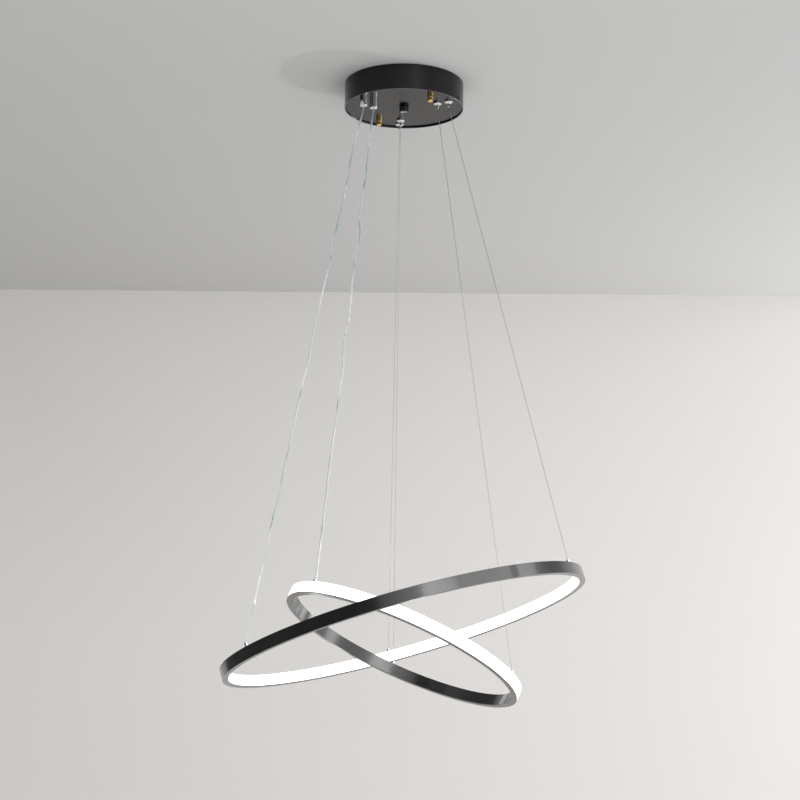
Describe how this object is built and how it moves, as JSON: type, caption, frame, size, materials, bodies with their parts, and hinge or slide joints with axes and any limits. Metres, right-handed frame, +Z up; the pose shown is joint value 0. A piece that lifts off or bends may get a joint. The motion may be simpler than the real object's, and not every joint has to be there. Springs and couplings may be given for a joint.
{
  "type": "ring chandelier",
  "caption": "Pendant light with lit rings tilted against each other, hung on thin steel wires and clear cords from a round ceiling canopy.",
  "frame": {"origin": "middle of the ceiling bracket's screw circle, on the ceiling plane", "axes": "+Z up to the ceiling, the light hangs along -Z. +X is the right-hand side and +Y the far side in the picture"},
  "size_m": [0.5821, 0.599, 1.036],
  "materials": {
    "dark_metal": "brushed black lacquer",
    "dark_plate": "brushed dark lacquer, half gloss",
    "zinc": "zinc plated",
    "nickel": "bright nickel plate",
    "brass": "polished",
    "black_steel": "blackened",
    "white_plastic": "moulded",
    "clear_cord": "clear sheath over two cores",
    "rubber": "matte",
    "steel": "bare",
    "aluminium": "brushed black anodised",
    "diffuser": "opal white, lit",
    "led_strip": "white board with yellow chips"
  },
  "bodies": {
    "canopy": {"canopy_wall": "dark_metal", "canopy_plate": "dark_plate", "side_screws": "black_steel", "ceiling_bracket": "zinc", "bracket_studs": "zinc", "stud_lock_nuts": "zinc", "thumb_nuts": "brass", "centre_nipple": "zinc", "centre_nut": "black_steel", "centre_lock_nut": "zinc", "driver_tray": "zinc", "led_driver": "white_plastic", "driver_screws": "zinc", "terminal_block": "white_plastic", "mains_lead": "white_plastic", "gland_barrels": "nickel", "gland_caps": "nickel", "gland_bushes": "rubber", "gland_lock_nuts": "zinc", "gland_grub_screws": "black_steel", "large_inner_lead": "clear_cord", "small_inner_lead": "clear_cord", "gripper_flanges": "nickel", "gripper_barrels": "nickel", "gripper_lock_nuts": "zinc", "gripper_springs": "steel", "large_right_wire": "steel", "large_far_wire": "steel", "small_right_wire": "steel", "small_far_wire": "steel", "large_power_cord": "clear_cord", "small_power_cord": "clear_cord"},
    "large_right_release": {"large_right_plunger": "nickel", "large_right_cage": "nickel"},
    "large_far_release": {"large_far_plunger": "nickel", "large_far_cage": "nickel"},
    "small_right_release": {"small_right_plunger": "nickel", "small_right_cage": "nickel"},
    "small_far_release": {"small_far_plunger": "nickel", "small_far_cage": "nickel"},
    "large_hangers": {"large_wire_balls": "steel", "large_cord_tail": "clear_cord"},
    "large_ring": {"large_channel": "aluminium", "large_diffuser": "diffuser", "large_led_strip": "led_strip", "large_joiner": "zinc", "large_joiner_screws": "black_steel", "large_wire_sockets": "nickel", "large_cord_socket": "nickel"},
    "small_hangers": {"small_wire_balls": "steel", "small_cord_tail": "clear_cord"},
    "small_ring": {"small_channel": "aluminium", "small_diffuser": "diffuser", "small_led_strip": "led_strip", "small_joiner": "zinc", "small_joiner_screws": "black_steel", "small_wire_sockets": "nickel", "small_cord_socket": "nickel"}
  },
  "joints": [
    {"name": "large_ring_height", "type": "slide", "parent": "canopy", "child": "large_hangers", "axis": [0, 0, 1], "range_m": [0, 0.3], "deforming": ["large_right_wire", "large_far_wire", "large_power_cord"]},
    {"name": "large_ring_tilt", "type": "hinge", "parent": "large_hangers", "child": "large_ring", "pos_m": [0.2591, -0.11654, -0.81328], "axis": [0.5436, -0.8053, 0.2366], "range_deg": [-12, 15], "deforming": ["large_cord_tail"]},
    {"name": "small_ring_height", "type": "slide", "parent": "canopy", "child": "small_hangers", "axis": [0, 0, 1], "range_m": [0, 0.2], "deforming": ["small_right_wire", "small_far_wire", "small_power_cord"]},
    {"name": "small_ring_tilt", "type": "hinge", "parent": "small_hangers", "child": "small_ring", "pos_m": [0.17385, -0.08733, -0.98269], "axis": [0.5476, -0.8338, -0.0696], "range_deg": [-20, 8], "deforming": ["small_cord_tail"]},
    {"name": "large_right_release_pin", "type": "slide", "parent": "canopy", "child": "large_right_release", "axis": [0, 0, 1], "range_m": [0, 0.002], "stiffness_N_per_m": 600, "springref_m": -0.001, "deforming": ["gripper_springs"]},
    {"name": "large_far_release_pin", "type": "slide", "parent": "canopy", "child": "large_far_release", "axis": [0, 0, 1], "range_m": [0, 0.002], "stiffness_N_per_m": 600, "springref_m": -0.001, "deforming": ["gripper_springs"]},
    {"name": "small_right_release_pin", "type": "slide", "parent": "canopy", "child": "small_right_release", "axis": [0, 0, 1], "range_m": [0, 0.002], "stiffness_N_per_m": 600, "springref_m": -0.001, "deforming": ["gripper_springs"]},
    {"name": "small_far_release_pin", "type": "slide", "parent": "canopy", "child": "small_far_release", "axis": [0, 0, 1], "range_m": [0, 0.002], "stiffness_N_per_m": 600, "springref_m": -0.001, "deforming": ["gripper_springs"]}
  ]
}
